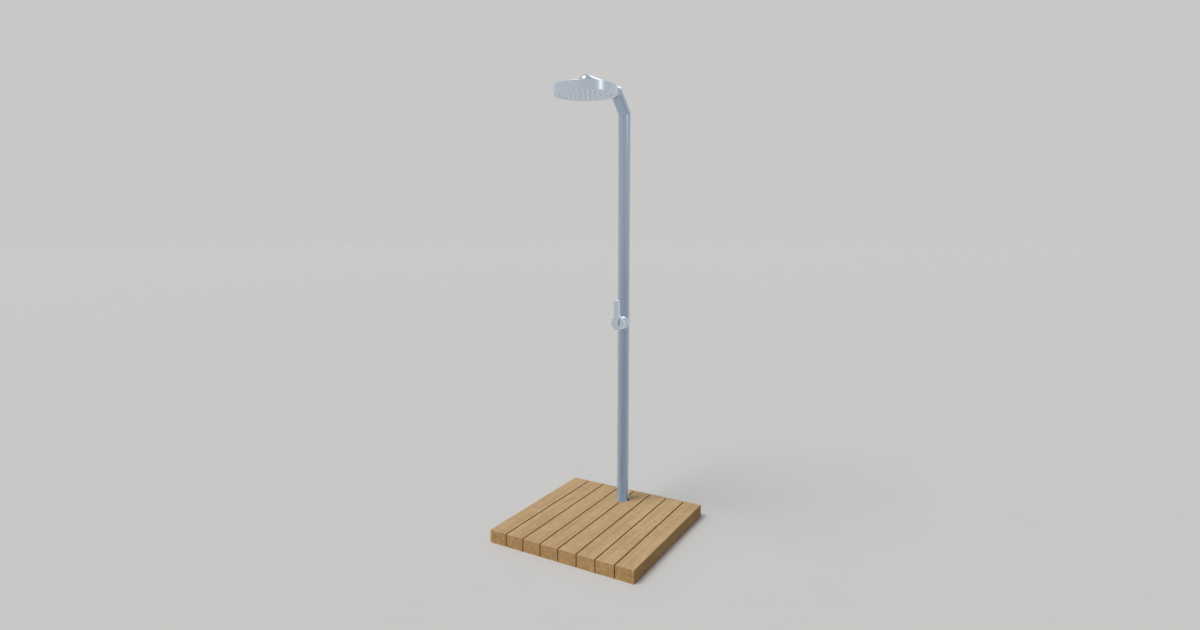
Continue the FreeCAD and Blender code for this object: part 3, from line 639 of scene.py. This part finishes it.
def addLoops(mesh, places, radius, sides, height):
    for place in places:
        where = Matrix.Translation((place.x, place.y, height))
        bmesh.ops.create_circle(mesh, segments=sides, radius=radius, matrix=where)


def makeHeadShell():
    ceiling = headHigh.z - headShape["wall"]
    inner = headRadius - headShape["wall"]
    mesh = spun([
        (headShape["neckHole"], headHigh.z, 0),
        (headRadius, headHigh.z, headShape["topRounding"]),
        (headRadius, headLow.z, headShape["rimRounding"]),
        (inner, headLow.z, headShape["rimRounding"]),
        (inner, ceiling, 0),
        (headShape["neckHole"], ceiling, 0),
    ], headShape["sides"])
    for place in screwPlaces:
        pillarLow = place + upWay * backingHigh.z
        pillarHigh = place + upWay * (ceiling + headShape["wall"] / 2)
        pillar = rod(headShape["pillar"], pillarLow, pillarHigh, headShape["pillarSides"])
        pillar = cutBy(pillar, rod(
            headShape["screwShank"] + headShape["screwPlay"],
            pillarLow - upWay * headShape["wall"],
            place + upWay * screwsHigh.z,
            headShape["pillarBoreSides"],
        ))
        data = bpy.data.meshes.new("pillar")
        pillar.to_mesh(data)
        pillar.free()
        mesh.from_mesh(data)
    return onHead(mesh)


def makeFacePlate():
    mesh = bmesh.new()
    radius = (plateHigh.x - plateLow.x) / 2
    addLoops(mesh, [Vector((0, 0, 0))], radius, headShape["sides"], plateLow.z)
    addLoops(mesh, nozzlePlaces, nozzleShape["holeRadius"], nozzleShape["holeSides"], plateLow.z)
    wide = headShape["screwHead"] + headShape["screwPlay"]
    narrow = headShape["screwShank"] + headShape["screwPlay"]
    addLoops(mesh, screwPlaces, wide, headShape["screwSides"], plateLow.z)
    bmesh.ops.triangle_fill(mesh, edges=mesh.edges[:], use_beauty=True, normal=(0, 0, -1))
    up = vertsIn(bmesh.ops.extrude_face_region(mesh, geom=mesh.faces[:])["geom"])
    bmesh.ops.translate(mesh, vec=(0, 0, plateHigh.z - plateLow.z), verts=up)
    for place in screwPlaces:
        near = [vert for vert in up if (vert.co.xy - place.xy).length < wide + headShape["screwPlay"]]
        shrink = narrow / wide
        bmesh.ops.scale(mesh, vec=(shrink, shrink, 1), space=Matrix.Translation(-place), verts=near)
    cleaned(mesh)
    rims = [
        edge for edge in mesh.edges
        if edge.calc_face_angle(0) > 1 and abs(edge.verts[0].co.z - edge.verts[1].co.z) < sameHeight
        and edge.verts[0].co.z < plateLow.z + sameHeight
    ]
    bevelled(mesh, rims, headShape["plateRounding"], 1)
    return onHead(mesh)


def makeNozzle():
    drop = plateHigh.z - matLow.z
    floorOfJet = nozzleShape["jetDepth"] - drop
    corners = [
        (nozzleShape["base"], 0),
        (nozzleShape["waist"], plateLow.z - plateHigh.z),
        (nozzleShape["tip"], -drop),
        (nozzleShape["jet"], -drop),
        (nozzleShape["jet"], floorOfJet),
        (0, floorOfJet),
    ]
    mesh = bmesh.new()
    verts = [mesh.verts.new((radius, 0, height)) for radius, height in corners]
    for first, second in zip(verts, verts[1:]):
        mesh.edges.new((first, second))
    bevelled(mesh, [verts[2]], nozzleShape["tipRounding"], 1, "VERTICES")
    bmesh.ops.spin(
        mesh, geom=everything(mesh), cent=(0, 0, 0), axis=(0, 0, 1), dvec=(0, 0, 0),
        angle=2 * math.pi, steps=nozzleShape["sides"], use_merge=True, use_duplicate=False,
    )
    cleaned(mesh)
    return mesh


def makeNozzleMat():
    # One sheet whose round faces give way to nozzles
    mesh = bmesh.new()
    radius = (matHigh.x - matLow.x) / 2
    addLoops(mesh, [Vector((0, 0, 0))], radius, headShape["sides"], plateHigh.z)
    addLoops(mesh, nozzlePlaces, nozzleShape["base"], nozzleShape["sides"], plateHigh.z)
    shank = headShape["screwShank"] + headShape["screwPlay"]
    addLoops(mesh, screwPlaces, shank, headShape["screwSides"], plateHigh.z)
    bmesh.ops.triangle_fill(mesh, edges=mesh.edges[:], use_beauty=True, normal=(0, 0, -1))
    rims = [edge for edge in mesh.edges if edge.is_boundary]
    back = bmesh.ops.extrude_edge_only(mesh, edges=rims)["geom"]
    bmesh.ops.translate(mesh, vec=(0, 0, matHigh.z - plateHigh.z), verts=vertsIn(back))
    keep = radius - nozzleShape["pitch"] / 4
    gone = [
        vert for vert in vertsIn(back)
        if vert.co.xy.length < keep
        and min((vert.co.xy - place.xy).length for place in screwPlaces) > 2 * shank
    ]
    bmesh.ops.delete(mesh, geom=gone, context="VERTS")
    backRims = [
        edge for edge in mesh.edges
        if edge.is_boundary and edge.verts[0].co.z > plateHigh.z + sameHeight
    ]
    bmesh.ops.triangle_fill(mesh, edges=backRims, use_beauty=True, normal=(0, 0, 1))
    nozzle = makeNozzle()
    shape = bpy.data.meshes.new("nozzle")
    nozzle.to_mesh(shape)
    nozzle.free()
    repeat(mesh, shape, [place + upWay * plateHigh.z for place in nozzlePlaces])
    return onHead(mesh)


def makeHeadScrews():
    low = plateLow.z
    taper = headShape["screwHead"] - headShape["screwShank"]
    screw = spun([
        (0, low, 0), (headShape["screwHead"], low, 0), (headShape["screwShank"], low + taper, 0),
        (headShape["screwShank"], screwsHigh.z, 0), (0, screwsHigh.z, 0),
    ], headShape["screwSides"])
    depth = headShape["socketDepth"]
    corner = headShape["socketAcross"] / 2 / math.cos(math.pi / 6)
    screw = cutBy(screw, rod(corner, Vector((0, 0, low - depth)), Vector((0, 0, low + depth)), 6))
    shape = bpy.data.meshes.new("headScrew")
    screw.to_mesh(shape)
    screw.free()
    mesh = bmesh.new()
    repeat(mesh, shape, screwPlaces)
    return onHead(mesh)


addPiece(makeHeadShell(), "headShell", headSteel, "root", "head_shell")
addPiece(makeFacePlate(), "facePlate", finishes["face_steel"], "root", "face_plate")
addPiece(makeNozzleMat(), "nozzleMat", finishes["nozzle_rubber"], "root", "nozzle_mat", 50)
addPiece(makeHeadScrews(), "headScrews", finishes["screw_steel"], "root", "head_screws")


# Valve housing and handle, made with +Z forwards from the post's axis and +Y up

housingShape = {
    "sides": 128,
    "radius": 0.0375,
    "length": 0.051,
    "frontRounding": 0.0005,
    "rearBore": 0.0305,
    "frontBore": 0.033,
    "shoulder": 0.034,
    "groove": (0.040, 0.0416),
    "grooveRadius": 0.0348,
    "postRoom": 0.03185,
    "screwHole": 0.0026,
    "screwForward": 0.037,
}
capShape = {
    "rear": 0.052,
    "front": 0.070,
    "frontRounding": 0.0015,
    "rearRounding": 0.0005,
    "boss": 0.011,
    "rimWall": 0.0035,
    "recess": 0.009,
    "square": 0.0081,
    "squareDepth": 0.013,
    "screwHole": 0.0026,
    "keyHole": 0.003,
    "screwForward": 0.057,
}
leverShape = {
    "width": 0.028,
    "thickness": 0.016,
    "rise": 0.123,
    "tipRounding": 0.006,
    "frontRounding": 0.0015,
    "rearRounding": 0.0004,
    "screwHole": 0.0026,
    "screwPlaces": (Vector((-0.007, 0.022, 0)), Vector((0.007, 0.022, 0))),
    "screwEnd": 0.0801,
}


def makeHousing():
    front = housingShape["length"]
    grooveRear, grooveFront = housingShape["groove"]
    mesh = spun([
        (housingShape["rearBore"], 0, 0),
        (housingShape["radius"], 0, 0),
        (housingShape["radius"], front, housingShape["frontRounding"]),
        (housingShape["frontBore"], front, housingShape["frontRounding"]),
        (housingShape["frontBore"], grooveFront, 0),
        (housingShape["grooveRadius"], grooveFront, 0),
        (housingShape["grooveRadius"], grooveRear, 0),
        (housingShape["frontBore"], grooveRear, 0),
        (housingShape["frontBore"], housingShape["shoulder"], 0),
        (housingShape["rearBore"], housingShape["shoulder"], 0),
    ], housingShape["sides"])
    reach = Vector((0, 2 * housingShape["radius"], 0))
    # The post's room is turned by half a side, so that no edge of it lies in the housing's rear plane
    room = rod(housingShape["postRoom"], -reach, reach, housingShape["sides"])
    halfSide = Matrix.Rotation(math.pi / housingShape["sides"], 3, "Y")
    bmesh.ops.rotate(room, cent=(0, 0, 0), matrix=halfSide, verts=room.verts)
    mesh = cutBy(mesh, room)
    forward = Vector((0, 0, housingShape["screwForward"]))
    down = Vector((0, -housingShape["rearBore"], 0))
    return onValve(cutBy(mesh, rod(housingShape["screwHole"], forward + down, forward - reach)))


def makeCap():
    rear, front = capShape["rear"], capShape["front"]
    recess = rear + capShape["recess"]
    radius = housingShape["radius"]
    inner = radius - capShape["rimWall"]
    mesh = spun([
        (0, rear, 0),
        (capShape["boss"], rear, 0),
        (capShape["boss"], recess, 0),
        (inner, recess, 0),
        (inner, rear, 0),
        (radius, rear, capShape["rearRounding"]),
        (radius, front, capShape["frontRounding"]),
        (0, front, 0),
    ], housingShape["sides"])
    half = capShape["square"] / 2
    low = Vector((-half, -half, rear - capShape["rimWall"]))
    mesh = cutBy(mesh, block(low, Vector((half, half, rear + capShape["squareDepth"]))))
    for place in leverShape["screwPlaces"]:
        start = place + upWay * (recess - capShape["rimWall"])
        end = place + upWay * (front + capShape["rimWall"])
        mesh = cutBy(mesh, rod(capShape["screwHole"], start, end))
    forward = Vector((0, 0, capShape["screwForward"]))
    boss = Vector((0, -capShape["boss"], 0))
    mesh = cutBy(mesh, rod(capShape["screwHole"], forward, forward + boss * 1.1))
    return onValve(cutBy(mesh, rod(capShape["keyHole"], forward + boss, forward + boss * 4)))


def makeLever():
    half = leverShape["width"] / 2
    rear = capShape["front"]
    front = rear + leverShape["thickness"]
    mesh = block(Vector((-half, -half, rear)), Vector((half, leverShape["rise"], front)))
    along = [edge for edge in mesh.edges if abs(edge.verts[0].co.z - edge.verts[1].co.z) > half / 2]
    tip = [edge for edge in along if edge.verts[0].co.y > 0]
    foot = [edge for edge in along if edge.verts[0].co.y < 0]
    bevelled(mesh, tip, leverShape["tipRounding"], 10)
    bevelled(mesh, foot, half, 24)
    cleaned(mesh)
    for height, rounding, steps in ((front, "frontRounding", 4), (rear, "rearRounding", 2)):
        rim = [edge for edge in mesh.edges if all(abs(vert.co.z - height) < sameRim for vert in edge.verts)]
        bevelled(mesh, rim, leverShape[rounding], steps)
    for place in leverShape["screwPlaces"]:
        ends = [place + upWay * height for height in (capShape["rear"], leverShape["screwEnd"])]
        mesh = cutBy(mesh, rod(leverShape["screwHole"], *ends))
    return onValve(mesh)


addPiece(makeHousing(), "valveHousing", housingSteel, "root", "valve_housing")
addPiece(makeCap(), "handleCap", finishes["handle_steel"], "handle", "handle_cap")
addPiece(makeLever(), "leverBlade", finishes["handle_steel"], "handle", "lever")

# These would only darken their neighbours' reflections of the room
for name in ("postTube", "headShell", "facePlate", "nozzleMat", "handleCap", "leverBlade"):
    bpy.data.objects[name].visible_glossy = False


# Camera, floor and light

cameraLook = {
    "place": (1.6408, -2.8658, 1.5723),
    "down": 7.7009,  # degrees below level
    "left": 29.797,  # degrees from straight ahead
    "lens": 20.019,
}
cameraData = bpy.data.cameras.new("camera")
cameraData.lens = cameraLook["lens"]
cameraData.sensor_width = 36
camera = bpy.data.objects.new("camera", cameraData)
camera.location = cameraLook["place"]
camera.rotation_euler = (math.radians(90 - cameraLook["down"]), 0, math.radians(cameraLook["left"]))
bpy.context.scene.collection.objects.link(camera)
bpy.context.scene.camera = camera

studioLook = {
    "floor": (0.56, 0.556, 0.552),
    "floorRadius": 60,
    "floorDrop": 0.0005,  # below the ground, so that nothing lies in its plane
    "floorRoughness": 0.9,
    "floorSpecular": 0.1,
    "backdrop": (0.583, 0.579, 0.573),
    "fill": 0.36,
    "fillColour": (0.96, 0.98, 1.0),
    "fillFrom": (-0.7, -0.3, 0.65),  # the side that the soft light is strongest on
    "fillAcross": (0.30, 1.55),  # its strength on the far side and on that side
    # What metal shows of the room on the viewer's side and beyond, by how far up or down it looks
    "frontWay": (0.64, -0.77, 0.0),
    "frontRange": (-0.62, 1),  # where the far side is all that shows, and where the near side is
    "frontSide": (
        (-0.9, (0.80, 0.81, 0.82)), (-0.3, (0.39, 0.445, 0.495)), (0.0, (0.685, 0.685, 0.685)),
        (0.18, (0.82, 0.82, 0.82)),
    ),
    "farSide": (
        (-0.9, (0.82, 0.82, 0.82)), (-0.36, (0.93, 0.83, 0.76)), (-0.1, (0.965, 0.95, 0.94)),
        (0.0, (0.976, 0.964, 0.96)), (0.18, (0.84, 0.85, 0.86)),
    ),
    # Bright patches that only metal shows: the way to each, its inner and outer half-angle, its strength
    "patches": (
        ((-0.384, 0.86, 0.344), (3, 8), 0.7),
        ((-0.15, 0.871, 0.468), (6, 14), 1.9),
    ),
    "sunStrength": 2.2,
    "sunTowards": (0.265, 0.424, -0.866),
    "sunAngle": 30,
    "sunColour": (1.0, 0.985, 0.96),
}


def makeFloor():
    mesh = bmesh.new()
    bmesh.ops.create_circle(mesh, cap_ends=True, segments=64, radius=studioLook["floorRadius"])
    data = bpy.data.meshes.new("floor")
    mesh.to_mesh(data)
    mesh.free()
    floor = bpy.data.objects.new("floor", data)
    floor.location.z = -studioLook["floorDrop"]
    bpy.context.scene.collection.objects.link(floor)
    material, tree, shader = newMaterial("floorPaper")
    clouds = noise(tree, placed(tree, (2, 2, 2)), detail=2)
    pale = studioLook["floor"]
    paler = tuple(1.01 * part for part in pale)
    tree.links.new(colours(tree, clouds, [(0.3, pale), (0.7, paler)]), shader.inputs["Base Color"])
    shader.inputs["Roughness"].default_value = studioLook["floorRoughness"]
    shader.inputs["Specular IOR Level"].default_value = studioLook["floorSpecular"]
    data.materials.append(material)
    floor.visible_glossy = False


def towards(tree, way, low, high, start=-1, end=1):
    # How far a direction of the room points one way
    coordinates = addNode(tree, "TexCoord")
    along = addNode(tree, "VectorMath", operation="DOT_PRODUCT")
    tree.links.new(coordinates.outputs["Generated"], along.inputs[0])
    along.inputs[1].default_value = Vector(way).normalized()
    return spread(tree, along.outputs["Value"], low, high, start, end)


def makeWorld():
    world = bpy.data.worlds.new("studio")
    bpy.context.scene.world = world
    world.use_nodes = True
    tree = world.node_tree
    lit = tree.nodes["Background"]
    lit.inputs["Color"].default_value = (*studioLook["fillColour"], 1)
    low, high = (studioLook["fill"] * share for share in studioLook["fillAcross"])
    tree.links.new(towards(tree, studioLook["fillFrom"], low, high), lit.inputs["Strength"])
    mirrored = addNode(tree, "Background", {"Strength": 1.0})
    raised = towards(tree, upWay, 0, 1)
    sides = [
        colours(tree, raised, [((height + 1) / 2, colour) for height, colour in studioLook[side]])
        for side in ("farSide", "frontSide")
    ]
    front = towards(tree, studioLook["frontWay"], 0, 1, *studioLook["frontRange"])
    room = mixed(tree, front, *sides)
    for way, halfAngles, strength in studioLook["patches"]:
        inner, outer = (math.cos(math.radians(angle)) for angle in halfAngles)
        room = mixed(tree, 1.0, room, towards(tree, way, 0, strength, outer, inner), "ADD")
    tree.links.new(room, mirrored.inputs["Color"])
    seen = addNode(tree, "Background", {"Strength": 1.0})
    seen.inputs["Color"].default_value = (*studioLook["backdrop"], 1)
    ray = addNode(tree, "LightPath")
    shown = tree.nodes["World Output"].inputs["Surface"]
    reflected = addNode(tree, "MixShader")
    tree.links.new(ray.outputs["Is Glossy Ray"], reflected.inputs["Fac"])
    tree.links.new(lit.outputs["Background"], reflected.inputs[1])
    tree.links.new(mirrored.outputs["Background"], reflected.inputs[2])
    viewed = addNode(tree, "MixShader")
    tree.links.new(ray.outputs["Is Camera Ray"], viewed.inputs["Fac"])
    tree.links.new(reflected.outputs["Shader"], viewed.inputs[1])
    tree.links.new(seen.outputs["Background"], viewed.inputs[2])
    tree.links.new(viewed.outputs["Shader"], shown)


def makeSun():
    data = bpy.data.lights.new("sun", "SUN")
    data.energy = studioLook["sunStrength"]
    data.angle = math.radians(studioLook["sunAngle"])
    data.color = studioLook["sunColour"]
    sun = bpy.data.objects.new("sun", data)
    sun.rotation_euler = Vector(studioLook["sunTowards"]).to_track_quat("-Z", "Y").to_euler()
    bpy.context.scene.collection.objects.link(sun)


stripLook = {
    "place": (3.3, -0.35, 2.9),
    "aim": (0.0, -0.14, 2.18),
    "size": (0.12, 0.45),
    "power": 3.0,
}


def makeStrip():
    # A narrow lamp that only shows as a bright line on the head's rim
    data = bpy.data.lights.new("headStrip", "AREA")
    data.shape = "RECTANGLE"
    data.size, data.size_y = stripLook["size"]
    data.energy = stripLook["power"]
    strip = bpy.data.objects.new("headStrip", data)
    strip.location = stripLook["place"]
    way = Vector(stripLook["aim"]) - Vector(stripLook["place"])
    strip.rotation_euler = way.to_track_quat("-Z", "Y").to_euler()
    strip.visible_camera = False
    strip.visible_diffuse = False
    bpy.context.scene.collection.objects.link(strip)


makeFloor()
makeWorld()
makeSun()
makeStrip()
bpy.context.scene.view_settings.view_transform = "Standard"
print("camera, floor and light set")
